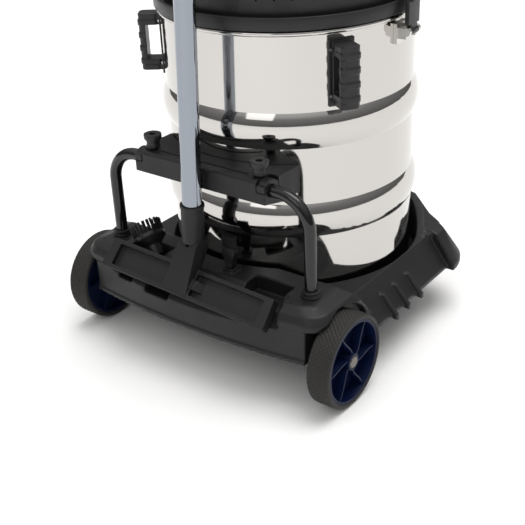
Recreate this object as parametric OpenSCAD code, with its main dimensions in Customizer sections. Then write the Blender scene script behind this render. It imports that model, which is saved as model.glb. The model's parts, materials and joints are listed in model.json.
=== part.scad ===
// Wet and dry vacuum cleaner: a polished steel drum on a moulded wheeled trolley,
// with a motor head, a rear tube hoop, a parked wand with its floor nozzle and two small tools.
// +Z is up, +Y is the front, the rear wheels and the parked tools are on the -Y side.

/* [Drum] */
// Outer radius of the drum wall
drum_r = 230; // [226:1:232]
// Height of the drum's floor above the ground
drum_z0 = 104; // [103:1:105]
// Height of the drum's open rim
drum_top = 618; // [610:1:630]
// How far the two rolled beads stand out
bead_out = 8.5; // [6:0.5:9]
// Y of the drum's axis, which centres the whole machine on the origin
drum_y = 38.155; // [36:0.005:40]

/* [Trolley] */
// Half width of the trolley at its lower edge
side_x = 283; // [280:1:285]
// Half width of the side decks at their top
deck_x = 243; // [242:1:246]
// Height of the trolley's lower edge
base_z0 = 92; // [92:0.5:93]
// Height of the side decks beside the drum
deck_z = 156; // [152:1:158]
// Height of the rear platform and the fenders
plat_z = 193; // [190:1:195]
// Wall thickness of the moulded trolley
wall = 4; // [3:0.5:4]

/* [Wheels] */
// Radius of the rear wheels
wheel_r = 86; // [85:0.5:87]
// Width of a rear tyre
tyre_w = 44; // [40:1:46]
// Outer face of a rear wheel, from the middle
wheel_x = 303; // [302:1:305]

/* [Hoop and wand] */
// Radius of the hoop's tube
hoop_r = 11; // [10:0.5:11]
// Height of the hoop's crossbar
bar_z = 372; // [370:1:374]
// Radius of the wand tube
wand_r = 17.5; // [17:0.5:17.5]
// Sideways lean of the parked wand, in degrees
lean = 3; // [2:0.5:3]
// Length of each of the two wand tubes
wand_len = 470; // [400:10:480]

/* [Hidden] */
$fn = 72;

// Fits
run = 0.05;       // radial clearance of a running fit
gap = 0.5;        // gap between parts that stay clear of each other
// Trolley
rear_y = -335;    // rear face at the middle
rear_curve = 1700; // plan radius of the rear face
recess_r = 242;   // radius of the drum's recess
recess_z = drum_z0 - 0.3; // floor of the drum's recess
axle_y = -256;    // rear wheel axis
axle_r = 8;
well_r = 95;      // wheel arches
well_cy = -250;
well_cz = 84;
fender_x = 276;   // outer edge of a fender
lip_z = 159;      // lower edge of the rear shoulders
leg_x = 219;      // hoop legs
leg_y = -262;
bend_r = 60;      // centreline radius of the hoop's bends
pod_x = 301;      // outer face of a front corner pod at its foot
ribs_y = [-100, -56, -9];
well_x = 96;      // pockets for the small tools
well_y = -304;
well_w = 82;
well_d = 54;
lip_h = 8;        // height of the skirt lip
// Crossbar block
block_x = 144;
block_y0 = -282;
block_z0 = 347;
block_z1 = 392;
saddle_r = 20;
cap_x = 126;      // inner end of a saddle cap
knob_x = 118;
// Nozzle
park_slope = 43.5; // slope of the ramp under the parked nozzle
park_y = -332;
park_z = 189;
elbow_y = -304;
elbow_z = 246;
wand_y = -302.5;
wand_foot = 268;  // lower end of the wand inside its cuff
wand_pivot_x = -2;
// Casters
caster_x = 150;
caster_y = 165;
caster_r = 30;
trail = 16;
// Handles and head
handle_a = -33;   // angle of the right handle round the drum
head_z = drum_top + 6;
motor_x = 88;

module along_x(x0, len) translate([x0, 0, 0]) rotate([90, 0, 90]) linear_extrude(len) children();
module along_y(y0, len) translate([0, y0 + len, 0]) rotate([90, 0, 0]) linear_extrude(len) children();
module both_sides() { children(); mirror([1, 0, 0]) children(); }
module on_drum() translate([0, drum_y, 0]) children();
module leaning() translate([wand_pivot_x, 0, elbow_z]) rotate([0, lean, 0]) translate([0, 0, -elbow_z]) children();
module parked() translate([0, park_y, park_z]) rotate([park_slope, 0, 0]) children();
module round_rect(x, y, r) {
    translate([-x / 2 + r, -y / 2]) square([x - 2 * r, y]);
    translate([-x / 2, -y / 2 + r]) square([x, y - 2 * r]);
    for (sx = [-1, 1], sy = [-1, 1]) translate([sx * (x / 2 - r), sy * (y / 2 - r)]) circle(r);
}

// ---- Trolley ----

// Side decks with sloping flanks; t insets the faces for the hollow inside
module side_body(t) along_y(-205 + t, 370 - 2 * t)
    polygon([[-side_x + t, base_z0 - t], [-side_x + t, base_z0 + 10], [-deck_x + t, deck_z - t],
        [deck_x - t, deck_z - t], [side_x - t, base_z0 + 10], [side_x - t, base_z0 - t]]);

module nose(t) translate([0, 0, base_z0 - t]) linear_extrude(deck_z + 4 - base_z0)
    polygon([[-250 + t, 100 + t], [-250 + t, 150], [-239 + t, 166 - t], [-203 + t, 192 - t], [-171 + t, 224 - t], [-132, 262 - t],
        [132, 262 - t], [171 - t, 224 - t], [203 - t, 192 - t], [239 - t, 166 - t], [250 - t, 150], [250 - t, 100 + t]]);

// Domed corner pods that stand out over the front casters
module pods() both_sides() hull() {
    translate([222, 118, base_z0 - 2]) linear_extrude(12) intersection() {
        scale([pod_x - 222, 88]) circle(1, $fn = 48);
        translate([-20, -6]) square([120, 110]);
    }
    translate([206, 112, deck_z]) cube([44, 38, 8]);
    translate([206, 112, deck_z - 12]) cube([56, 32, 15]);
}
module pod_hollow() both_sides() translate([206, 116, base_z0 - 3]) cube([60, 42, 38]);

module rear_body(t) intersection() {
    union() {
        along_x(-deck_x + t, 2 * (deck_x - t))
            polygon([[-165 - t, base_z0 - t], [-165 - t, deck_z - t], [-212, plat_z - t], [-280, plat_z - t],
                [rear_y, plat_z - 53 - t], [rear_y, base_z0 - t]]);
        // inside of the rear shoulders
        both_sides() along_x(192 + t, deck_x - 192 - 2 * t)
            polygon([[-165 - t, base_z0 - t], [-165 - t, deck_z - t], [-212, plat_z - t], [-290 + t, plat_z - t],
                [-312 + t, lip_z + 12], [-330, lip_z + 4], [-330, base_z0 - t]]);
    }
    translate([0, rear_curve + rear_y + t, 0]) cylinder(r = rear_curve, h = 300, $fn = 200);
}

// Rear shoulders: the deck domed over each wheel, with a rounded corner and an overhanging lip
module shoulders() both_sides() difference() {
    hull() {
        translate([0, 0, lip_z]) linear_extrude(12) {
            translate([fender_x - 42, -280]) circle(42, $fn = 48);
            translate([191.5, -327]) square([2, 100]);
            translate([fender_x - 2, -206]) square([2, 12]);
        }
        translate([0, 0, plat_z - 16]) linear_extrude(7) {
            translate([fender_x - 45, -279]) circle(36, $fn = 48);
            translate([191.5, -320]) square([2, 100]);
            translate([fender_x - 12, -212]) square([2, 10]);
        }
        translate([0, 0, plat_z - 4]) linear_extrude(5) {
            translate([212, -276]) circle(25, $fn = 48);
            translate([191.5, -303]) square([2, 90]);
            translate([234, -216]) square([2, 4]);
        }
        translate([250, -148, 116]) cube([19, 4, 4]);
    }
    wheel_arch(0);
}
module wheel_arch(t) translate([256 - t, well_cy, well_cz]) rotate([0, 90, 0]) cylinder(r = well_r + t, h = 60, $fn = 120);

module skirt_lip() {
    along_y(-150, 260) polygon([[-side_x - 3, base_z0], [-side_x - 3, base_z0 + lip_h], [side_x + 3, base_z0 + lip_h], [side_x + 3, base_z0]]);
    intersection() {
        translate([-deck_x, -345, base_z0]) cube([2 * deck_x, 100, lip_h]);
        translate([0, rear_curve + rear_y - 3, 0]) cylinder(r = rear_curve, h = 300, $fn = 200);
    }
}

module side_ribs() both_sides() for (y = ribs_y) along_y(y - 5, 10)
    polygon([[255, 98], [298, base_z0 - 4], [298, base_z0 + 6], [268, 133], [255, 133]]);

module base_outer() {
    difference() {
        side_body(0);
        both_sides() wheel_arch(0);
    }
    nose(0);
    pods();
    rear_body(0);
    shoulders();
    skirt_lip();
    side_ribs();
}

// Everything the moulding's walls enclose from below
module underside() difference() {
    union() {
        side_body(wall);
        nose(wall);
        pod_hollow();
        rear_body(wall);
    }
    both_sides() wheel_arch(wall);
    rear_slots(3);
    translate([0, 4, recess_z - wall]) cylinder(r = recess_r + wall, h = 200, $fn = 160);
    both_sides() {
        translate([leg_x, leg_y, 101]) cylinder(r = hoop_r + 5, h = 200);
        translate([well_x - 3, well_y - 3, plat_z - 33]) cube([well_w + 6, well_d + 6, 60]);
    }
}

// Finger recesses under the parked nozzle; t grows them for the walls behind
module rear_slots(t) {
    translate([-178 - t, rear_y - 5, 142 - t]) cube([38 + 2 * t, 45 + t, 16 + 2 * t]);
    translate([-108 - t, rear_y - 5, 135 - t]) cube([60 + 2 * t, 40 + t, 15 + 2 * t]);
}

// Raised crest round the front of the drum
module crest() difference() {
    intersection() {
        translate([0, 4, recess_z + 1]) cylinder(r = recess_r + 16, h = 120, $fn = 160);
        along_x(-240, 480) polygon([[96, 120], [96, 158], [135, 170], [162, 182], [178, 187], [300, 187], [300, 120]]);
    }
    translate([0, 4, recess_z]) intersection() {
        difference() {
            cylinder(r = recess_r + 12, h = 120, $fn = 160);
            cylinder(r = recess_r + 4, h = 120, $fn = 160);
        }
        along_x(-240, 480) polygon([[60, 10], [92, 44], [131, 56], [158, 68], [174, 75], [310, 75], [310, 10]]);
    }
}

module trolley_base() color([0.13, 0.13, 0.13]) on_drum() difference() {
    union() {
        difference() {
            base_outer();
            underside();
        }
        crest();
        translate([36, -274, plat_z - 1]) cube([22, 24, 9]);
    }
    translate([0, 4, recess_z]) cylinder(r = recess_r, h = 200, $fn = 160);
    translate([40.5, -270.5, plat_z]) cube([13, 17, 20]);
    rear_slots(0);
    // pockets for the small tools, the hoop's sockets and the way for the axle
    both_sides() {
        translate([well_x, well_y, plat_z - 30]) cube([well_w, well_d, 60]);
        translate([leg_x, leg_y, 104]) cylinder(r = hoop_r + 0.1, h = 200);
        translate([200, axle_y, wheel_r]) rotate([0, 90, 0]) cylinder(r = axle_r + 1, h = 120);
    }
}

module bottom_plate() color([0.2, 0.2, 0.2]) on_drum() difference() {
    intersection() {
        translate([-deck_x + wall + gap, -328, base_z0 + 4]) cube([2 * (deck_x - wall - gap), 118, 3]);
        translate([0, rear_curve + rear_y + 7, 0]) cylinder(r = rear_curve, h = 300, $fn = 200);
    }
    translate([0, 4, base_z0 - 10]) cylinder(r = recess_r + wall + 2, h = 60, $fn = 160);
}

module rear_axle() color("silver") on_drum()
    translate([-wheel_x + 6, axle_y, wheel_r]) rotate([0, 90, 0]) cylinder(r = axle_r, h = 2 * wheel_x - 12);

module axle_brackets() color([0.3, 0.3, 0.3]) on_drum() both_sides() for (x = [60, 214])
    along_x(x, 16) difference() {
        intersection() {
            union() {
                translate([axle_y - 34, base_z0]) square([68, 4]);
                translate([axle_y, wheel_r]) circle(17);
            }
            translate([axle_y - 40, 0]) square([80, base_z0 + 4]);
        }
        translate([axle_y, wheel_r]) circle(axle_r + run);
    }

module ring() difference() { circle(hoop_r); circle(hoop_r - 1.5); }
module hoop_tube() color([0.08, 0.08, 0.08]) on_drum() {
    both_sides() {
        translate([leg_x, leg_y, 104 + gap]) linear_extrude(bar_z - bend_r - 104 - gap) ring();
        translate([leg_x - bend_r, leg_y, bar_z - bend_r]) rotate([90, 0, 0]) rotate_extrude(angle = 90)
            translate([bend_r, 0]) ring();
    }
    along_x(-leg_x + bend_r, 2 * (leg_x - bend_r)) translate([leg_y, bar_z]) ring();
}

module leg_collars() color([0.1, 0.1, 0.1]) on_drum() both_sides() translate([leg_x, leg_y, plat_z + 1])
    rotate_extrude() {
        translate([hoop_r + run, 0]) square([6, 4]);
        translate([hoop_r + run, 0]) square([4, 13]);
        translate([hoop_r + run, 9]) square([5, 3]);
    }

// ---- Crossbar block and its clamps ----

module crossbar_block() color([0.12, 0.12, 0.12]) on_drum() difference() {
    union() {
        along_x(-block_x, 2 * block_x)
            polygon([[block_y0, block_z0 + 5], [block_y0, block_z1 - 4], [block_y0 + 4, block_z1], [-170, block_z1 - 3],
                [-170, block_z0 - 8], [-230, block_z0 - 8]]);
        both_sides() translate([knob_x, leg_y + 4, block_z1 - 6]) cylinder(r = 8, h = 9);
    }
    translate([0, 0, 200]) cylinder(r = drum_r + gap, h = 300, $fn = 160);
    along_x(-200, 400) translate([leg_y, bar_z]) circle(hoop_r + run);
    // seat of each saddle cap
    both_sides() along_x(cap_x, 60) translate([block_y0 - 10, bar_z]) square([10 + leg_y + saddle_r + 0.6 - block_y0, 60]);
    both_sides() translate([knob_x, leg_y + 4, bar_z + hoop_r + 3]) cylinder(r = 5 + run, h = 40);
    bracket_bolts(3, false);
    // sink line along the top, and the hollow back behind the bar
    translate([-98, leg_y - 1.6, block_z1 - 6]) cube([196, 3.6, 20]);
    along_x(-100, 200) translate([-238, block_z0 - 2]) square([20, block_z1 - block_z0 - 10]);
}

module saddle_cap() along_x(cap_x + 1.6, block_x - cap_x - 1.6) difference() {
    intersection() {
        union() {
            translate([leg_y, bar_z]) circle(saddle_r);
            translate([block_y0, bar_z - 5]) square([saddle_r, 18]);
            translate([leg_y, bar_z - 5]) square([saddle_r, 18]);
        }
        translate([leg_y - 40, bar_z + gap]) square([80, 60]);
    }
    translate([leg_y, bar_z]) circle(hoop_r + run);
}
module saddle_cap_right() color([0.12, 0.12, 0.12]) on_drum() saddle_cap();
module saddle_cap_left() color([0.12, 0.12, 0.12]) on_drum() mirror([1, 0, 0]) saddle_cap();

module bracket_bolts(r, head) both_sides() for (a = [-64, -80], z = [block_z0 + 6, block_z1 - 12])
    rotate([0, 0, a]) translate([0, 0, z]) rotate([0, 90, 0]) {
        translate([0, 0, drum_r - 2]) cylinder(r = r, h = 14, $fn = 24);
        if (head) translate([0, 0, drum_r - 5.5]) cylinder(r = 5, h = 3.6, $fn = 6);
    }
module bracket_screws() color("silver") on_drum() bracket_bolts(2.9, true);

module clamp_knob() translate([knob_x, leg_y + 4, 0]) rotate_extrude() difference() {
    union() {
        translate([0, bar_z + hoop_r + 6]) square([5, 20]);
        translate([0, block_z1 + 4]) square([12, 18]);
        translate([0, block_z1 + 3.5]) square([13, 3]);
        translate([0, block_z1 + 19]) square([16, 8]);
        translate([0, block_z1 + 16]) square([14, 4]);
    }
    translate([-1, block_z1 + 15]) square([7, 20]);
}
module clamp_knob_right() color([0.1, 0.1, 0.1]) on_drum() clamp_knob();
module clamp_knob_left() color([0.1, 0.1, 0.1]) on_drum() mirror([1, 0, 0]) clamp_knob();

module wand_rest() color([0.05, 0.05, 0.05]) on_drum() difference() {
    translate([-9, block_y0 - 5, block_z0 + 12]) cube([26, 5, 26]);
    leaning() translate([0, wand_y, 200]) cylinder(r = wand_r + 0.4, h = 400);
}

// ---- Drum ----

module drum_outline(grow) {
    difference() {
        union() {
            translate([0, drum_z0 - grow]) square([drum_r + grow, drum_top - drum_z0 + grow]);
            for (z = bead_z) intersection() {
                translate([drum_r + bead_out - bead_arc, z]) circle(bead_arc + grow, $fn = 160);
                translate([drum_r - 40, 0]) square([80, drum_top]);
            }
        }
        translate([drum_r + grow - 12, drum_z0 - grow - 1]) difference() {
            square([14, 13]);
            translate([0, 13]) circle(12);
        }
    }
}
bead_z = [281, 448];
bead_half = 32;
bead_arc = (pow(bead_half, 2) + pow(bead_out, 2)) / (2 * bead_out);
inlet_z = 552;
inlet_r = 20.25;

module drum_shell() color([0.8, 0.8, 0.8]) on_drum() difference() {
    rotate_extrude($fn = 160) {
        difference() {
            drum_outline(0);
            difference() {
                translate([0, 0.01]) drum_outline(-1.5);
                translate([-10, drum_top]) square([300, 10]);
            }
            translate([-1, drum_z0 + 20]) square([drum_r - 0.5, drum_top]);
        }
        translate([drum_r + 2, drum_top - 4]) circle(4.5, $fn = 32);
    }
    rotate_extrude($fn = 160) difference() {
        drum_outline(-1.5);
        translate([drum_r - 8, drum_top - 12]) square([40, 20]);
    }
    translate([0, 0, drum_top - 20]) cylinder(r = drum_r - 1.5, h = 40, $fn = 160);
    translate([0, drum_r - 30, inlet_z]) rotate([-90, 0, 0]) cylinder(r = 30, h = 60);
    bracket_bolts(3, false);
}

grip_z0 = 492;
module side_handle() rotate([0, 0, handle_a]) difference() {
    union() {
        translate([drum_r - 6, -15, grip_z0]) cube([34, 30, 104]);
        translate([drum_r + 24, 0, grip_z0]) {
            linear_extrude(104) round_rect(38, 34, 9);
            for (k = [0 : 3]) translate([0, 0, 11 + k * 24]) linear_extrude(10) round_rect(41, 36, 9);
        }
        translate([drum_r - 6, -23, grip_z0 - 5]) cube([9, 46, 114]);
    }
    translate([0, 0, 400]) cylinder(r = drum_r + 0.2, h = 300, $fn = 160);
    translate([drum_r + 4, -50, grip_z0 + 20]) cube([26, 100, 64]);
}
module side_handle_right() color([0.1, 0.1, 0.1]) on_drum() side_handle();
module side_handle_left() color([0.1, 0.1, 0.1]) on_drum() mirror([1, 0, 0]) side_handle();

module handle_screws() color("silver") on_drum() both_sides() rotate([0, 0, handle_a]) for (z = [grip_z0 + 14, grip_z0 + 92], y = [-19.5, 19.5])
    translate([drum_r + 3, y, z]) rotate([0, 90, 0]) cylinder(r = 2.6, h = 2);

module inlet_port() color([0.1, 0.1, 0.1]) on_drum() difference() {
    union() {
        translate([0, drum_r - 6, inlet_z]) rotate([-90, 0, 0]) cylinder(r = 27, h = 52);
        translate([0, drum_r - 8, inlet_z]) rotate([-90, 0, 0]) cylinder(r = 44, h = 12);
        translate([0, drum_r - 12, inlet_z]) rotate([-90, 0, 0]) cylinder(r = 27, h = 16);
    }
    difference() {
        translate([0, 0, 400]) cylinder(r = drum_r + 0.2, h = 300, $fn = 160);
        translate([0, drum_r - 40, inlet_z]) rotate([-90, 0, 0]) cylinder(r = 28, h = 60);
    }
    translate([0, drum_r - 60, inlet_z]) rotate([-90, 0, 0]) cylinder(r = inlet_r, h = 200);
}

module inlet_deflector() color([0.15, 0.15, 0.15]) on_drum() difference() {
    intersection() {
        translate([-34, drum_r - 68, inlet_z - 44]) cube([68, 76, 78]);
        translate([0, 0, 400]) cylinder(r = drum_r - 1.7, h = 300, $fn = 160);
    }
    translate([-31, drum_r - 65, inlet_z - 60]) cube([62, 90, 91]);
}

// ---- Head ----

module head_gasket() color([0.05, 0.05, 0.05]) on_drum() rotate_extrude($fn = 120)
    translate([drum_r - 4, drum_top + 1]) square([8, 4.5]);

module head_base() color([0.12, 0.12, 0.12]) on_drum() difference() {
    rotate_extrude($fn = 120) {
        translate([0, head_z]) square([238, 6]);
        translate([234, head_z - 4]) square([6, 22]);
        translate([212, head_z - 4]) square([4, 6]);
        translate([214, head_z + 4]) square([4, 10]);
    }
    for (s = [-1, 1]) translate([s * motor_x, 0, head_z - 20]) cylinder(r = 22, h = 60);
}

module head_cover() color([0.12, 0.12, 0.12]) on_drum() difference() {
    rotate_extrude($fn = 120) difference() {
        cover_outline(0);
        cover_outline(3.5);
        translate([-300, 0]) square([300, 1200]);
    }
    // exhaust louvres round the back and sides
    for (a = [150 : 7.5 : 390]) rotate([0, 0, a]) translate([200, -1.6, cover_z0 + 34]) cube([40, 3.2, 46]);
    // opening for the switch panel
    translate([-62, 190, cover_z0 + 26]) cube([124, 60, 52]);
    on_gland() cylinder(r = 9, h = 100);
}
cover_z0 = head_z + 6.5;
cover_h = 190;
module cover_outline(t) {
    difference() {
        union() {
            translate([0, cover_z0 - (t > 0 ? 1 : 0)]) square([222 - t, 112]);
            translate([0, cover_z0 + 100]) square([222 - 66, cover_h - 100 - t]);
            translate([222 - 78, cover_z0 + 112]) circle(78 - t, $fn = 120);
            translate([0, cover_z0 + 150]) square([120 - t, 52 - t]);
        }
        translate([0, cover_z0 - 200]) square([300, 200 - (t > 0 ? 1 : 0)]);
    }
}

module motor() {
    translate([motor_x, 0, head_z + 20]) difference() {
        union() {
            cylinder(r = 66, h = 34);
            cylinder(r = 46, h = 118);
        }
        translate([0, 0, 4]) cylinder(r = 60, h = 26);
        translate([0, 0, 29]) cylinder(r = 40, h = 80);
        translate([0, 0, -1]) cylinder(r = 20, h = 10);
        translate([0, 0, 100]) cylinder(r = 6 + run, h = 30);
    }
    translate([motor_x, 0, head_z + 6]) difference() {
        cylinder(r = 30, h = 14);
        translate([0, 0, -1]) cylinder(r = 21, h = 30);
    }
}
module motor_right() color([0.45, 0.45, 0.47]) on_drum() motor();
module motor_left() color([0.45, 0.45, 0.47]) on_drum() mirror([1, 0, 0]) motor();

module rotor() translate([motor_x, 0, head_z + 20]) {
    cylinder(r = 6, h = 122);
    translate([0, 0, 8]) cylinder(r = 56, h = 2);
    translate([0, 0, 22]) cylinder(r = 56, h = 2);
    for (a = [0 : 45 : 315]) rotate([0, 0, a]) translate([22, -1, 9]) cube([33, 2, 14]);
    translate([0, 0, 8]) cylinder(r = 12, h = 16);
    translate([0, 0, 42]) cylinder(r = 28, h = 44);
}
module rotor_right() color("silver") on_drum() rotor();
module rotor_left() color("silver") on_drum() mirror([1, 0, 0]) rotor();

cage_r = 70;
cage_z0 = 430;
module filter_cage() color([0.2, 0.2, 0.2]) on_drum() {
    difference() {
        union() {
            translate([0, 0, cage_z0]) cylinder(r = cage_r, h = head_z - cage_z0 - 2);
            translate([0, 0, head_z - 8]) cylinder(r = 160, h = 8);
        }
        translate([0, 0, cage_z0 + 4]) cylinder(r = cage_r - 4, h = head_z - cage_z0 - 8);
        for (s = [-1, 1]) translate([s * motor_x, 0, head_z - 20]) cylinder(r = 22, h = 60);
        for (a = [0 : 30 : 330], z = [cage_z0 + 14, cage_z0 + 92]) rotate([0, 0, a]) translate([50, -7, z]) cube([40, 14, 66]);
    }
}

module filter_element() color([0.85, 0.82, 0.7]) on_drum() translate([0, 0, cage_z0 + 10]) linear_extrude(head_z - cage_z0 - 30)
    difference() {
        polygon([for (i = [0 : 95]) let (a = i * 360 / 96, r = i % 2 == 0 ? 98 : 84) [r * cos(a), r * sin(a)]]);
        circle(cage_r + 2);
    }

module float_ball() color([0.8, 0.25, 0.1]) on_drum() translate([0, 0, cage_z0 + 5 + 38]) sphere(38);

module switch_panel() color([0.16, 0.16, 0.17]) on_drum() difference() {
    union() {
        translate([-60, 202, cover_z0 + 28]) cube([120, 22, 48]);
        translate([-66, 222.3, cover_z0 + 22]) cube([132, 4, 60]);
    }
    translate([-56, 198, cover_z0 + 32]) cube([112, 18, 40]);
    for (s = [-1, 1]) {
        translate([s * 28 - 14, 210, cover_z0 + 41]) cube([28, 30, 22]);
        translate([s * 28 - 17, rocker_y, rocker_z]) rotate([0, 90, 0]) cylinder(r = 1.5 + run, h = 34);
    }
}

rocker_y = 222;
rocker_z = cover_z0 + 52;
module rocker(s) translate([s * 28, rocker_y, rocker_z]) rotate([-8, 0, 0]) {
    translate([-13, -3, -9.3]) cube([26, 6, 18.6]);
    rotate([0, 90, 0]) translate([0, 0, -13]) cylinder(r = 4, h = 26);
    rotate([0, 90, 0]) translate([0, 0, -16]) cylinder(r = 1.5, h = 32);
}
module rocker_right() color([0.7, 0.08, 0.06]) on_drum() rocker(1);
module rocker_left() color([0.7, 0.08, 0.06]) on_drum() rocker(-1);

module on_gland() rotate([0, 0, 233.5]) translate([208, 0, cover_z0 + 60]) rotate([0, 90, 0]) children();
module cord_gland() color([0.06, 0.06, 0.06]) on_drum() on_gland() difference() {
    union() {
        cylinder(r = 8.8, h = 24);
        translate([0, 0, 14.4]) cylinder(r = 12, h = 5);
        translate([0, 0, 19]) cylinder(r1 = 9.5, r2 = 6.5, h = 26);
        translate([0, 0, 2]) cylinder(r = 12, h = 5, $fn = 6);
    }
    translate([0, 0, -10]) cylinder(r = 4.5, h = 60);
}

lug_x = 78;
lug_z = cover_z0 + 202 + 15;
module handle_lugs() color([0.12, 0.12, 0.12]) on_drum() both_sides() difference() {
    union() {
        translate([lug_x, -16, cover_z0 + 202]) cube([12, 32, 15]);
        translate([lug_x, 0, lug_z]) rotate([0, 90, 0]) cylinder(r = 14, h = 12);
    }
    translate([lug_x - 5, 0, lug_z]) rotate([0, 90, 0]) cylinder(r = 5 + run, h = 40);
}

module carry_handle() color([0.1, 0.1, 0.1]) on_drum() translate([0, 0, lug_z]) {
    both_sides() {
        translate([lug_x - 9, 0, 0]) rotate([0, 90, 0]) cylinder(r = 5, h = 21);
        translate([lug_x - 9, 0, 0]) rotate([0, 90, 0]) cylinder(r = 11, h = 8);
        translate([lug_x - 9, -7, 0]) cube([8, 14, 34]);
        translate([lug_x - 25, 0, 34]) rotate([90, 0, 0]) rotate_extrude(angle = 90) translate([16, -7]) square([8, 14]);
    }
    translate([-lug_x + 25, -7, 50]) cube([2 * lug_x - 50, 14, 8]);
    translate([-42, 0, 54]) rotate([0, 90, 0]) cylinder(r = 12, h = 84);
}

// ---- Latches ----

latch_r = 253;
latch_z = 590;
module latch_bracket() {
    difference() {
        union() {
            translate([drum_r - 5, -20, latch_z - 22]) cube([11, 40, 34]);
            for (s = [-1, 1]) translate([drum_r, s * 15.5 - 3.5, latch_z - 12]) cube([latch_r - drum_r, 7, 18]);
            for (s = [-1, 1]) translate([latch_r, s * 15.5 + 3.5, latch_z]) rotate([90, 0, 0]) cylinder(r = 7, h = 7);
        }
        translate([0, 0, 400]) cylinder(r = drum_r + 0.2, h = 300, $fn = 160);
    }
    translate([latch_r, 19, latch_z]) rotate([90, 0, 0]) cylinder(r = 3, h = 38);
}
module latch_brackets() color([0.35, 0.35, 0.36]) on_drum() both_sides() latch_bracket();

module latch() difference() {
    union() {
        translate([latch_r, 10.5, latch_z]) rotate([90, 0, 0]) cylinder(r = 7, h = 21);
        translate([latch_r - 4, -10.5, latch_z]) cube([8, 21, 72]);
        translate([latch_r - 4, -18, latch_z + 12]) cube([8, 36, 60]);
        translate([234.5, -18, head_z + 20.3]) cube([latch_r - 232, 36, 7]);
        translate([latch_r + 2, -14, latch_z + 50]) cube([7, 28, 22]);
    }
    translate([latch_r, 30, latch_z]) rotate([90, 0, 0]) cylinder(r = 3 + run, h = 60);
}
module latch_right() color([0.1, 0.1, 0.1]) on_drum() latch();
module latch_left() color([0.1, 0.1, 0.1]) on_drum() mirror([1, 0, 0]) latch();

// ---- Rear wheels ----

rim_r = 77;
module tyre() translate([wheel_x - tyre_w, axle_y, wheel_r]) rotate([0, 90, 0]) rotate_extrude($fn = 120) difference() {
    union() {
        translate([rim_r, 0]) square([wheel_r - rim_r - 4, tyre_w]);
        translate([rim_r, 4]) square([wheel_r - rim_r, tyre_w - 8]);
        for (y = [4, tyre_w - 4]) translate([wheel_r - 4, y]) circle(4);
    }
    translate([0, -10]) square([rim_r, 80]);
}
module tyre_right() color([0.18, 0.18, 0.17]) on_drum() tyre();
module tyre_left() color([0.18, 0.18, 0.17]) on_drum() mirror([1, 0, 0]) tyre();

module hub() translate([wheel_x - tyre_w, axle_y, wheel_r]) rotate([0, 90, 0]) {
    difference() {
        union() {
            rotate_extrude($fn = 120) {
                translate([rim_r - 5, 1.5]) square([5 - run, tyre_w - 3]);
                translate([15, 15]) square([rim_r - 18, 5]);
                translate([0, 2]) square([15.5, tyre_w - 5]);
            }
            for (k = [0 : 5]) rotate([0, 0, 60 * k]) translate([0, 0, 4]) linear_extrude(tyre_w - 9) spoke();
        }
        translate([0, 0, -5]) cylinder(r = axle_r + run, h = tyre_w + 2);
        translate([0, 0, tyre_w - 9]) cylinder(r = 11.2, h = 20);
    }
}
// A curved rib from the boss to the rim, in the pinwheel form of the hub
module spoke() {
    n = 10;
    inner = 14;
    outer = rim_r - 3;
    bow = function (u) 26 * u + 10 * sin(180 * u);
    pts = [for (i = [0 : n]) let (u = i / n, r = inner + (outer - inner) * u) [r * cos(bow(u)), r * sin(bow(u))]];
    polygon(concat(
        [for (i = [0 : n]) pts[i] + [-1.4 * sin(bow(i / n)), 1.4 * cos(bow(i / n))]],
        [for (i = [n : -1 : 0]) pts[i] - [-1.4 * sin(bow(i / n)), 1.4 * cos(bow(i / n))]]));
}
module hub_right() color([0.02, 0.1, 0.32]) on_drum() hub();
module hub_left() color([0.02, 0.1, 0.32]) on_drum() mirror([1, 0, 0]) hub();

module cap() translate([wheel_x - 8.8, axle_y, wheel_r]) rotate([0, 90, 0]) difference() {
    union() {
        cylinder(r = 11, h = 6);
        translate([0, 0, 6]) cylinder(r1 = 11, r2 = 9.5, h = 1.5);
    }
    translate([0, 0, -1]) cylinder(r = axle_r + 0.4, h = 5);
}
module cap_right() color([0.4, 0.4, 0.4]) on_drum() cap();
module cap_left() color([0.4, 0.4, 0.4]) on_drum() mirror([1, 0, 0]) cap();

// ---- Front casters ----

plate_top = recess_z - wall;
module caster_plates() color("silver") on_drum() both_sides() translate([caster_x, caster_y, 0]) {
    translate([-28, -28, plate_top - 3]) cube([56, 56, 2.8]);
    translate([0, 0, plate_top - 20]) cylinder(r = 6, h = 18);
    translate([0, 0, plate_top - 24]) cylinder(r = 9, h = 4.5);
    for (sx = [-1, 1], sy = [-1, 1]) translate([sx * 21, sy * 21, plate_top - 5]) cylinder(r = 4, h = 3);
}

module caster_fork() translate([caster_x, caster_y, 0]) difference() {
    union() {
        translate([0, 0, plate_top - 19]) cylinder(r = 17, h = 14);
        for (s = [-1, 1]) translate([s * 15 - 1.5, 0, 0]) rotate([90, 0, 90]) linear_extrude(3)
            polygon([[-trail - 8, caster_r - 6], [-trail + 8, caster_r - 6], [-trail + 9, caster_r + 4], [13, plate_top - 14], [13, plate_top - 6], [-15, plate_top - 6], [-trail - 9, caster_r + 4]]);
        translate([-16.5, -15, plate_top - 9]) cube([33, 28, 4]);
    }
    translate([0, 0, plate_top - 30]) cylinder(r = 6 + run, h = 40);
    translate([0, 0, plate_top - 30]) cylinder(r = 10, h = 11);
    translate([-30, -trail, caster_r]) rotate([0, 90, 0]) cylinder(r = 4 + run, h = 60);
}
module caster_axle() translate([caster_x - 17, caster_y - trail, caster_r]) rotate([0, 90, 0]) {
    cylinder(r = 4, h = 34);
    translate([0, 0, -3]) cylinder(r = 6, h = 3.2);
    translate([0, 0, 33.8]) cylinder(r = 6, h = 3.2);
}
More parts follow.
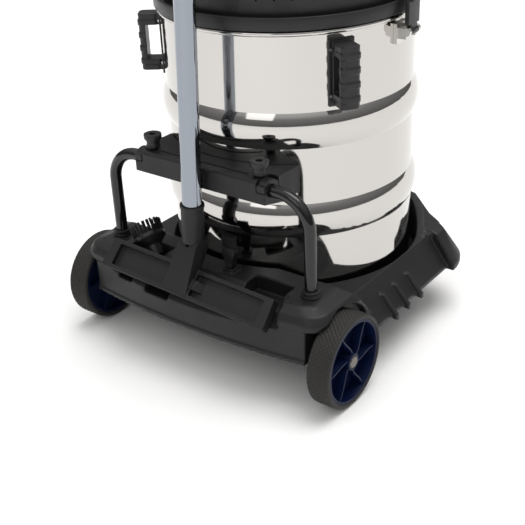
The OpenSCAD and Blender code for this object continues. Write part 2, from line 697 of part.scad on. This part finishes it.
module caster_wheel() translate([caster_x - 11, caster_y - trail, caster_r]) rotate([0, 90, 0]) difference() {
    rotate_extrude() {
        translate([4, 0]) square([7, 22]);
        translate([4, 9]) square([22, 4]);
        translate([23, 1]) square([4, 20]);
        translate([26, 1]) square([4, 20]);
    }
    translate([0, 0, -5]) cylinder(r = 4 + run, h = 40);
}
module caster_fork_right() color("silver") on_drum() caster_fork();
module caster_axle_right() color("silver") on_drum() caster_axle();
module caster_wheel_right() color([0.2, 0.2, 0.2]) on_drum() caster_wheel();
module caster_fork_left() color("silver") on_drum() mirror([1, 0, 0]) caster_fork();
module caster_axle_left() color("silver") on_drum() mirror([1, 0, 0]) caster_axle();
module caster_wheel_left() color([0.2, 0.2, 0.2]) on_drum() mirror([1, 0, 0]) caster_wheel();

// ---- Wand and nozzle ----

module wand_tube(z0, len) translate([0, wand_y, z0]) difference() {
    cylinder(r = wand_r, h = len);
    translate([0, 0, -1]) cylinder(r = wand_r - 1.2, h = len + 2);
}
module wand_lower_tube() color([0.8, 0.82, 0.85]) on_drum() leaning() wand_tube(wand_foot, wand_len);
module wand_upper_tube() color([0.8, 0.82, 0.85]) on_drum() leaning() wand_tube(wand_foot + wand_len + 1, wand_len);

module wand_coupling() color([0.1, 0.1, 0.1]) on_drum() leaning() translate([0, wand_y, wand_foot + wand_len - 30]) rotate_extrude() {
    translate([wand_r + run, 0]) square([3, 64]);
    translate([wand_r + run, 0]) square([4.5, 8]);
    translate([wand_r + run, 56]) square([4.5, 8]);
}

cuff_top = 329;
knuckle_r = 18.5;
module wand_cuff() color([0.12, 0.12, 0.12]) on_drum() leaning() difference() {
    union() {
        difference() {
            union() {
                translate([0, wand_y, elbow_z + 4]) cylinder(r1 = 20, r2 = 20.2, h = cuff_top - elbow_z - 8);
                translate([0, wand_y, cuff_top - 5]) cylinder(r = 21.5, h = 5);
            }
            // hollow over the knuckle, and the room the neck needs as it swings
            translate([-30, elbow_y, elbow_z]) rotate([0, 90, 0]) cylinder(r = knuckle_r + gap, h = 60);
            translate([-30, elbow_y - 40, elbow_z - 10]) cube([60, 40, 22.5]);
        }
        translate([-3.5, elbow_y - 8, elbow_z]) cube([7, 16, 21]);
        translate([-3.5, elbow_y, elbow_z]) rotate([0, 90, 0]) cylinder(r = 9, h = 7);
    }
    translate([0, wand_y, wand_foot]) cylinder(r = wand_r + run, h = 100);
    translate([-20, elbow_y, elbow_z]) rotate([0, 90, 0]) cylinder(r = 4 + run, h = 40);
}

// Panel frames on a long bar, with a rounded neck that ends in the elbow's knuckle
module nozzle_shell() color([0.12, 0.12, 0.12]) on_drum() leaning() {
    difference() {
        union() {
            parked() difference() {
                translate([0, 0, -20]) linear_extrude(20)
                    polygon([[-186, -28], [-186, -22], [-182, 28], [182, 28], [186, -22], [186, -28]]);
                translate([-164, -21, -11]) cube([142, 41, 20]);
                translate([20, -21, -11]) cube([144, 41, 20]);
                translate([-200, -28, 0]) rotate([12, 0, 0]) translate([0, -20, 0]) cube([400, 26, 10]);
            }
            // rib beside the neck
            parked() translate([0, 8, 0]) rotate([90, 0, 0]) linear_extrude(18) polygon([[14, -12], [42, -12], [26, 3], [14, 3]]);
            hull() {
                translate([-19, elbow_y, elbow_z]) rotate([0, 90, 0]) cylinder(r = knuckle_r, h = 38, $fn = 64);
                parked() translate([-39, -28, -12]) cube([56, 48, 11]);
            }
        }
        // slot for the cuff's tongue as the nozzle swings
        translate([-3.9, elbow_y, elbow_z]) rotate([90, 0, 90]) linear_extrude(7.8) {
            polygon([[8.6, -1], [8.6, 28], [-14, 28], [-22, 13.6], [-7, -5.4]]);
            circle(9.6);
        }
        // long hollow underneath and the duct down the neck
        parked() translate([-180, -23, -24]) cube([360, 46, 10]);
        translate([-12, elbow_y, elbow_z]) rotate([-15.3, 0, 0]) translate([0, -9, -76]) cube([24, 18, 64]);
    }
    // hinge pin of the elbow
    translate([-15, elbow_y, elbow_z]) rotate([0, 90, 0]) cylinder(r = 4, h = 30);
}

module nozzle_sole() color([0.07, 0.07, 0.07]) on_drum() leaning() parked() difference() {
    union() {
        translate([-179.5, -22.5, -22]) cube([359, 45, 3]);
        for (y = [-20, 17]) translate([-172, y, -26]) cube([344, 3, 5]);
    }
    translate([-150, -8, -30]) cube([300, 16, 20]);
}

// ---- Small tools ----

brush_at = [-114, -282, plat_z - 4];
module in_brush_well() translate(brush_at) rotate([-16, -42, 0]) children();
module brush_body() color([0.06, 0.06, 0.06]) on_drum() in_brush_well() difference() {
    union() {
        translate([0, 0, -4]) cylinder(r = 15, h = 22);
        translate([0, 0, 16]) cylinder(r1 = 15, r2 = 29, h = 14);
        translate([0, 0, 30]) cylinder(r = 30, h = 8);
    }
    translate([0, 0, -6]) cylinder(r = 12, h = 32);
    translate([0, 0, 24]) cylinder(r = 19, h = 20);
}
module brush_bristles() color([0.03, 0.03, 0.03]) on_drum() in_brush_well() translate([0, 0, 38])
    difference() { cylinder(r1 = 29, r2 = 31, h = 26); translate([0, 0, -1]) cylinder(r = 20.5, h = 30); }

module small_brush() color([0.1, 0.1, 0.1]) on_drum() translate([47, -262, plat_z + 0.3]) {
    translate([-6, -8, 0]) cube([12, 16, 14]);
    translate([-8, -8, 14]) cube([16, 16, 6]);
    hull() { translate([-8, -8, 19]) cube([16, 16, 1]); translate([-13, -7, 36]) cube([26, 14, 12]); }
    for (k = [-5 : 5]) translate([k * 2.3 - 0.7, -5, 47]) cube([1.4, 10, 22]);
}

trolley_base();
bottom_plate();
rear_axle();
axle_brackets();
hoop_tube();
leg_collars();
crossbar_block();
saddle_cap_left();
saddle_cap_right();
bracket_screws();
wand_rest();
clamp_knob_left();
clamp_knob_right();
drum_shell();
side_handle_left();
side_handle_right();
handle_screws();
inlet_port();
inlet_deflector();
head_gasket();
head_base();
head_cover();
motor_left();
motor_right();
rotor_left();
rotor_right();
filter_cage();
filter_element();
float_ball();
switch_panel();
rocker_left();
rocker_right();
cord_gland();
handle_lugs();
carry_handle();
latch_brackets();
latch_left();
latch_right();
tyre_left();
hub_left();
cap_left();
tyre_right();
hub_right();
cap_right();
caster_plates();
caster_fork_left();
caster_axle_left();
caster_wheel_left();
caster_fork_right();
caster_axle_right();
caster_wheel_right();
wand_lower_tube();
wand_upper_tube();
wand_coupling();
wand_cuff();
nozzle_shell();
nozzle_sole();
brush_body();
brush_bristles();
small_brush();
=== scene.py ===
"""Wet and dry drum vacuum on its trolley: looks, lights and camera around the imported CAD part.

Positions in this file are in millimetres from the drum's axis on the floor, x to the machine's
right as seen from behind, y to its front and z up. at() turns them into the scene's metres.
"""

import json
import math
import random

import bpy
from mathutils import Matrix, Vector


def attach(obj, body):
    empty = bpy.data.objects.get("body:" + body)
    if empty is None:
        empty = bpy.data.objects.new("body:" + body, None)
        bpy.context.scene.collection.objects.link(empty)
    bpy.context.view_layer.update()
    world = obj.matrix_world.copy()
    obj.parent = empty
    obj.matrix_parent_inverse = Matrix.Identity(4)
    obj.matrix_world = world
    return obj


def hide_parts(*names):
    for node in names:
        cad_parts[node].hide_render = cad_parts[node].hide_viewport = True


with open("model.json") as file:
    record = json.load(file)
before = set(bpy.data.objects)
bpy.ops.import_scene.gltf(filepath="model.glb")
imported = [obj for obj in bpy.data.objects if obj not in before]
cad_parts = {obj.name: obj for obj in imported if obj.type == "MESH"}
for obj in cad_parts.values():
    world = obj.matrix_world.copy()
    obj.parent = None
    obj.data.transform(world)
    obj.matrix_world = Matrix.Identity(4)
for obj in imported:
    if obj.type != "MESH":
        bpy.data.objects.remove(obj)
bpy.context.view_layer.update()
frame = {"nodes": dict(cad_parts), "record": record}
nodes = frame["nodes"]
scene = bpy.context.scene
rnd = random.Random(7)

MM = 0.001
DRUM_Y = 38.155  # how far the drum's axis stands in front of the origin, in millimetres


def at(x, y, z):
    """A point given in millimetres from the drum's axis on the floor."""
    return Vector((x * MM, (y + DRUM_Y) * MM, z * MM))


# ---------------------------------------------------------------- materials


def new_material(name):
    """An empty node material with one Principled shader, which the caller fills in."""
    m = bpy.data.materials.new(name)
    m.use_nodes = True
    tree = m.node_tree
    tree.nodes.clear()
    out = tree.nodes.new("ShaderNodeOutputMaterial")
    bsdf = tree.nodes.new("ShaderNodeBsdfPrincipled")
    tree.links.new(bsdf.outputs[0], out.inputs[0])
    return m, tree, bsdf


def coords(tree, scale=(1, 1, 1)):
    """The object's own coordinates, stretched by scale."""
    tc = tree.nodes.new("ShaderNodeTexCoord")
    mp = tree.nodes.new("ShaderNodeMapping")
    mp.inputs["Scale"].default_value = scale
    tree.links.new(tc.outputs["Object"], mp.inputs[0])
    return mp.outputs[0]


def noise(tree, scale, detail=4.0, vec=None):
    """Noise over the object's coordinates, or over vec."""
    n = tree.nodes.new("ShaderNodeTexNoise")
    n.inputs["Scale"].default_value = scale
    n.inputs["Detail"].default_value = detail
    tree.links.new(vec if vec is not None else coords(tree), n.inputs["Vector"])
    return n.outputs[0]


def ramp(tree, fac, stops):
    """A colour ramp through (position, colour) stops."""
    r = tree.nodes.new("ShaderNodeValToRGB")
    while len(r.color_ramp.elements) > 1:
        r.color_ramp.elements.remove(r.color_ramp.elements[0])
    for k, (pos, col) in enumerate(stops):
        e = r.color_ramp.elements[0] if k == 0 else r.color_ramp.elements.new(pos)
        e.position = pos
        e.color = (*col, 1)
    tree.links.new(fac, r.inputs[0])
    return r.outputs[0]


def grey(v):
    """A colour without a hue."""
    return (v, v, v)


def bump(tree, bsdf, height, strength, distance):
    """A bump on the shader's normal, its distance in metres."""
    b = tree.nodes.new("ShaderNodeBump")
    b.inputs["Strength"].default_value = strength
    b.inputs["Distance"].default_value = distance
    tree.links.new(height, b.inputs["Height"])
    tree.links.new(b.outputs[0], bsdf.inputs["Normal"])


def plastic(name, colour, rough, grain=900, grain_h=0.00006, spread=0.06, spec=0.5, dust=0.0):
    """Moulded plastic: a fine grain, slightly uneven gloss and colour.

    grain is the grain's noise scale, grain_h its height in metres, and spread is how far the
    roughness wanders to each side.
    """
    m, t, b = new_material(name)
    clouds = noise(t, 9.0)
    darker = [x * 0.9 for x in colour]
    lighter = [x * 1.12 + dust for x in colour]
    b.inputs["Specular IOR Level"].default_value = spec
    t.links.new(ramp(t, clouds, [(0.3, darker), (0.7, lighter)]), b.inputs["Base Color"])
    patches = noise(t, 22.0)
    gloss = ramp(t, patches, [(0.3, grey(rough - spread)), (0.7, grey(rough + spread))])
    t.links.new(gloss, b.inputs["Roughness"])
    if grain_h:
        bump(t, b, noise(t, grain, 2.0), 0.5, grain_h)
    return m


def metal(name, colour, rough, spread=0.02, scale=12.0, stretch=(1, 1, 1)):
    """Bare metal whose gloss wanders a little, in streaks along the axis that stretch shortens."""
    m, t, b = new_material(name)
    b.inputs["Base Color"].default_value = (*colour, 1)
    b.inputs["Metallic"].default_value = 1.0
    streaks = noise(t, scale, 5.0, coords(t, stretch))
    gloss = ramp(t, streaks, [(0.3, grey(max(0.01, rough - spread))), (0.75, grey(rough + spread))])
    t.links.new(gloss, b.inputs["Roughness"])
    return m


M = {
    "black_moulding": plastic("black_moulding", (0.0125, 0.0125, 0.0135), 0.46, spec=0.32),
    "dark_plate": plastic("dark_plate", (0.02, 0.02, 0.02), 0.6, spec=0.3),
    "axle_steel": metal("axle_steel", (0.6, 0.6, 0.6), 0.25),
    "zinc_steel": metal("zinc_steel", (0.66, 0.65, 0.62), 0.32, 0.06),
    "gloss_black_paint": plastic(
        "gloss_black_paint", (0.006, 0.006, 0.007), 0.13, grain=300, grain_h=0.00002, spread=0.03
    ),
    "screw_steel": metal("screw_steel", (0.6, 0.6, 0.6), 0.3),
    "black_rubber": plastic("black_rubber", (0.010, 0.010, 0.010), 0.62, spec=0.3),
    "knob_plastic": plastic("knob_plastic", (0.012, 0.012, 0.013), 0.38, spec=0.4),
    "stainless": metal("stainless", (0.565, 0.55, 0.53), 0.07, 0.02, 5.0, (1, 1, 0.35)),
    "inner_plastic": plastic("inner_plastic", (0.05, 0.05, 0.05), 0.5),
    "head_plastic": plastic("head_plastic", (0.016, 0.016, 0.0175), 0.42, spec=0.36),
    "motor_metal": metal("motor_metal", (0.6, 0.6, 0.6), 0.45, 0.08),
    "rotor_steel": metal("rotor_steel", (0.6, 0.6, 0.62), 0.3),
    "filter_cloth": plastic(
        "filter_cloth", (0.75, 0.72, 0.62), 0.9, grain=500, grain_h=0.0003, spec=0.2
    ),
    "float_plastic": plastic("float_plastic", (0.75, 0.2, 0.06), 0.3),
    "rocker_red": plastic("rocker_red", (0.5, 0.02, 0.015), 0.25, grain_h=0),
    "tyre_rubber": plastic("tyre_rubber", (0.022, 0.021, 0.0195), 0.6, spec=0.3, dust=0.002),
    "caster_tyre": plastic("caster_tyre", (0.06, 0.06, 0.06), 0.5),
    "hub_blue": plastic("hub_blue", (0.0015, 0.006, 0.031), 0.4, spread=0.05, spec=0.13),
    "cap_metal": metal("cap_metal", (0.17, 0.155, 0.14), 0.36, 0.05),
    "wand_chrome": metal("wand_chrome", (0.285, 0.31, 0.35), 0.09, 0.02, 20.0, (1, 1, 0.1)),
    "brush_plastic": plastic("brush_plastic", (0.010, 0.010, 0.011), 0.36, spec=0.4),
    "bristle": plastic("bristle", (0.008, 0.008, 0.009), 0.5, grain_h=0, spec=0.4),
}

slot_of = {part["node"]: part["material_slot"] for part in frame["record"]["subparts"]}
for n, o in nodes.items():
    o.data.materials.clear()
    o.data.materials.append(M[slot_of[n]])

# ---------------------------------------------------------------- edges of the CAD nodes

SHARP_ANGLE = math.radians(35.0)  # an edge that turns further than this stays sharp
BEVEL_ANGLE = math.radians(32.0)  # and one that turns further than this is rounded


def set_smooth(o):
    """Smooth shading that keeps the sharp edges."""
    me = o.data
    me.polygons.foreach_set("use_smooth", [True] * len(me.polygons))
    me.set_sharp_from_angle(angle=SHARP_ANGLE)


def soften(o, width):
    """Rounds a CAD node's edges by width millimetres, as a moulding has them."""
    weld = o.modifiers.new("weld", "WELD")
    weld.merge_threshold = 0.00002
    flat = o.modifiers.new("flat", "DECIMATE")
    flat.decimate_type = "DISSOLVE"
    flat.angle_limit = math.radians(1.0)
    bevel = o.modifiers.new("round", "BEVEL")
    bevel.width = width * MM
    bevel.segments = 2
    bevel.limit_method = "ANGLE"
    bevel.angle_limit = BEVEL_ANGLE
    bevel.use_clamp_overlap = True
    bevel.harden_normals = False
    o.modifiers.new("tri", "TRIANGULATE")


def mould(o, voxel, rounds, ratio):
    """Rounds a CAD node all over, the way a moulded plastic part has no sharp edge.

    voxel is in millimetres, and ratio is the share of the faces kept afterwards.
    """
    voxels = o.modifiers.new("voxels", "REMESH")
    voxels.mode = "VOXEL"
    voxels.voxel_size = voxel * MM
    voxels.adaptivity = 0.0
    voxels.use_smooth_shade = True
    relax = o.modifiers.new("relax", "SMOOTH")
    relax.factor = 0.5
    relax.iterations = rounds
    thin = o.modifiers.new("thin", "DECIMATE")
    thin.ratio = ratio


for n, o in nodes.items():
    set_smooth(o)

MOULDED = {
    "trolley_base": (2.0, 5, 0.2),
    "crossbar_block": (1.0, 4, 0.25),
    "nozzle_shell": (0.9, 4, 0.25),
    "saddle_cap_left": (0.7, 4, 0.3),
    "saddle_cap_right": (0.7, 4, 0.3),
    "side_handle_left": (0.9, 4, 0.25),
    "side_handle_right": (0.9, 4, 0.25),
}
for n, (voxel, rounds, ratio) in MOULDED.items():
    mould(nodes[n], voxel, rounds, ratio)

EDGE_MM = {
    "wand_cuff": 0.8,
    "clamp_knob_left": 0.9,
    "clamp_knob_right": 0.9,
    "hub_left": 0.7,
    "hub_right": 0.7,
    "leg_collars": 0.8,
    "brush_body": 0.7,
    "head_base": 1.2,
    "inlet_port": 1.0,
    "carry_handle": 1.2,
    "latch_left": 0.8,
    "latch_right": 0.8,
    "handle_lugs": 1.0,
}
for n, w in EDGE_MM.items():
    soften(nodes[n], w)

# ---------------------------------------------------------------- new pieces


def mesh_object(name, verts, faces, mat, body, smooth=True):
    """A new piece of the given material that rides with a body."""
    me = bpy.data.meshes.new(name)
    me.from_pydata([tuple(v) for v in verts], [], faces)
    me.validate()
    me.update()
    me.materials.append(M[mat])
    if smooth:
        me.polygons.foreach_set("use_smooth", [True] * len(me.polygons))
    o = bpy.data.objects.new(name, me)
    scene.collection.objects.link(o)
    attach(o, body)
    return o


def tube_rings(rings):
    """Points and faces of a surface through closed rings of equal length."""
    n = len(rings[0])
    verts = [p for r in rings for p in r]
    faces = []
    for i in range(len(rings) - 1):
        for j in range(n):
            k = (j + 1) % n
            faces.append((i * n + j, i * n + k, (i + 1) * n + k, (i + 1) * n + j))
    return verts, faces


def tyre(side):
    """Solid tyre: a diamond knurl across the tread, rounded shoulders, plain sidewalls.

    side is -1 for the left wheel and 1 for the right one.
    """
    name = "left" if side < 0 else "right"
    around, across = 500, 40
    wheel_r, tread_r, bore, width = 86, 85.9, 77.0, 44.0
    outer_x, axle_y = 303.0, -256
    shoulder, plain_edge = 5, 3.2
    knurl_deep, knurl_steep, cells = 1.5, 3.4, 62
    pitch = 2 * math.pi * wheel_r / cells
    tread = []
    for i in range(across + 1):
        x = width * (i / across)
        edge = min(x, width - x)
        drop = 0.0
        if edge <= shoulder:
            drop = shoulder - math.sqrt(max(0.0, shoulder**2 - (shoulder - edge) ** 2))
        tread.append((x, tread_r - drop, edge > plain_edge))
    bead = [(4, bore), (1.2, bore), (0.3, bore + 1.0), (0.0, bore + 3.0)]
    head = [(x, r, False) for x, r in bead]
    tail = [(width - x, r, False) for x, r in reversed(bead)]
    rings = []
    for x, r, knurled in head + tread + tail:
        ring = []
        for j in range(around):
            th = 2 * math.pi * j / around
            rr = r
            if knurled:
                a = th * cells / (2 * math.pi) + x / pitch
                b = th * cells / (2 * math.pi) - x / pitch
                near = min(abs(a - round(a)), abs(b - round(b)))
                rr = r - knurl_deep * (1.0 - min(1.0, near * knurl_steep))
            y, z = axle_y + rr * math.cos(th), wheel_r + rr * math.sin(th)
            ring.append(at(side * (outer_x - x), y, z))
        rings.append(ring)
    verts, faces = tube_rings(rings + [rings[0]])
    o = mesh_object("tyre_skin_" + name, verts, faces, "tyre_rubber", "wheel_" + name)
    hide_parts("tyre_" + name)


tyre(-1)
tyre(1)


def tufts(name, spots, mat, body, root_r, tip_r):
    """Thin four-sided bristles that taper from each root to its tip."""
    verts, faces = [], []
    for root, tip in spots:
        d = (tip - root).normalized()
        u = d.orthogonal().normalized()
        w = d.cross(u)
        n = len(verts)
        for p, r in ((root, root_r), (tip, tip_r)):
            for k in range(4):
                a = math.pi / 2 * k
                verts.append(p + (u * math.cos(a) + w * math.sin(a)) * r * MM)
        for k in range(4):
            m = (k + 1) % 4
            faces.append((n + k, n + m, n + 4 + m, n + 4 + k))
        faces.append((n + 4, n + 5, n + 6, n + 7))
    return mesh_object(name, verts, faces, mat, body, smooth=False)


def turned(u, v, angle, z):
    """The point (u, v) turned about the upright axis by angle, at height z."""
    c, s = math.cos(angle), math.sin(angle)
    return Vector((u * c - v * s, u * s + v * c, z))


def round_bristles():
    """Stiff clumps in two rings that open a little towards the tips."""
    tilt = Matrix.Rotation(math.radians(-42), 3, "Y") @ Matrix.Rotation(math.radians(-16), 3, "X")
    base = Vector((-114, -282, 189))
    root_z, tip_z = 37.0, 63.0
    strands, clump_r, swirl = 9, 1.5, 2.4
    opening, spread, stagger = 1.4, 1.5, 0.3
    spots = []
    for ring, (r, clumps) in enumerate(((22.8, 17), (26.8, 22))):
        for k in range(clumps):
            a = 2 * math.pi * (k + stagger * ring) / clumps
            lean = rnd.uniform(-0.03, 0.03)
            tall = tip_z + rnd.uniform(-1.5, 0.6)
            for q in range(strands):
                s, c = clump_r * math.sqrt(q / strands), swirl * q
                du, dv = s * math.cos(c), s * math.sin(c)
                root = turned(r + du, dv, a, root_z)
                end_z = tall + rnd.uniform(-0.8, 0.4)
                tip = turned(r + opening + du * spread, dv * spread, a + lean, end_z)
                spots.append((at(*(base + tilt @ root)), at(*(base + tilt @ tip))))
    o = tufts("round_bristle_tufts", spots, "bristle", "round_brush", 0.62, 0.45)
    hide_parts("brush_bristles")


round_bristles()


def flat_bristles():
    """Fine bristles that fan out between the flat brush's blades."""
    cx, cy, foot_z = 47, -262, 193
    root_z, tip_z = foot_z + 46, foot_z + 71
    step, fan = 1.15, 1.22
    root_row, tip_row = 3.2, 4.0
    spots = []
    for k in range(21):
        for row in (-1, 0, 1):
            x = (k - 10) * step
            tip_x = cx + x * fan + rnd.uniform(-0.3, 0.3)
            end_z = tip_z + rnd.uniform(-1.5, 1.0)
            root = at(cx + x, cy + row * root_row, root_z)
            spots.append((root, at(tip_x, cy + row * tip_row, end_z)))
    tufts("flat_bristle_tufts", spots, "bristle", "flat_brush", 0.5, 0.32)


flat_bristles()

# ---------------------------------------------------------------- camera


def add_camera():
    """Behind the machine and to its right, looking down on it, slightly rolled."""
    azimuth, elevation, roll = math.radians(37.67), math.radians(28.62), math.radians(-2.62)
    flat = math.cos(elevation)
    back = Vector((math.sin(azimuth) * flat, -math.cos(azimuth) * flat, math.sin(elevation)))
    right0 = Vector((math.cos(azimuth), math.sin(azimuth), 0))
    up0 = right0.cross(-back)
    right = right0 * math.cos(roll) + up0 * math.sin(roll)
    up = -right0 * math.sin(roll) + up0 * math.cos(roll)
    cam = bpy.data.cameras.new("camera")
    cam.lens = 68.27
    cam.sensor_width = 36.0
    cam.clip_end = 60
    o = bpy.data.objects.new("camera", cam)
    scene.collection.objects.link(o)
    p = at(1043.8, -1461.0, 1055.75)
    o.matrix_world = Matrix(
        (
            (right.x, up.x, back.x, p.x),
            (right.y, up.y, back.y, p.y),
            (right.z, up.z, back.z, p.z),
            (0, 0, 0, 1),
        )
    )
    scene.camera = o


add_camera()

# ---------------------------------------------------------------- floor, world, lights


def add_floor():
    """A plain white floor, a hair below the wheels."""
    me = bpy.data.meshes.new("floor")
    half = 30.0
    corners = [(-half, -half, 0), (half, -half, 0), (half, half, 0), (-half, half, 0)]
    me.from_pydata(corners, [], [(0, 1, 2, 3)])
    o = bpy.data.objects.new("floor", me)
    o.location = (0, 0, -0.0006)
    scene.collection.objects.link(o)
    m, t, b = new_material("floor_white")
    b.inputs["Base Color"].default_value = (0.97, 0.965, 0.955, 1)
    b.inputs["Roughness"].default_value = 0.9
    b.inputs["Specular IOR Level"].default_value = 0.0
    me.materials.append(m)


def add_world():
    """A white ceiling that falls off to a greyer horizon."""
    w = bpy.data.worlds.new("world")
    scene.world = w
    w.use_nodes = True
    t = w.node_tree
    t.nodes.clear()
    out = t.nodes.new("ShaderNodeOutputWorld")
    bg = t.nodes.new("ShaderNodeBackground")
    tc = t.nodes.new("ShaderNodeTexCoord")
    sep = t.nodes.new("ShaderNodeSeparateXYZ")
    t.links.new(tc.outputs["Generated"], sep.inputs[0])
    sky = ramp(t, sep.outputs["Z"], [(0.0, grey(0.13)), (0.35, grey(0.26)), (0.75, grey(1.0))])
    t.links.new(sky, bg.inputs["Color"])
    bg.inputs["Strength"].default_value = 1.0
    t.links.new(bg.outputs[0], out.inputs[0])


def sun(loc, strength, spread):
    """A soft sun that shines from loc's direction, spread degrees wide."""
    light = bpy.data.lights.new("sun", "SUN")
    light.energy = strength
    light.angle = math.radians(spread)
    o = bpy.data.objects.new("sun", light)
    o.rotation_euler = (-Vector(loc)).to_track_quat("-Z", "Y").to_euler()
    scene.collection.objects.link(o)


def area(name, loc, target, side, power):
    """A square lamp of the given side in metres, aimed at target."""
    light = bpy.data.lights.new(name, "AREA")
    light.shape = "SQUARE"
    light.size = side
    light.energy = power
    o = bpy.data.objects.new(name, light)
    o.location = loc
    aim = Vector(target) - Vector(loc)
    o.rotation_euler = aim.to_track_quat("-Z", "Y").to_euler()
    scene.collection.objects.link(o)


add_floor()
add_world()
sun((0.12, 0.2, 1.0), 1.6, 42)
area("fill", (0.4, -2.6, 1.9), (0, 0, 0.3), 1.2, 6)
scene.view_settings.view_transform = "Standard"
scene.view_settings.look = "None"
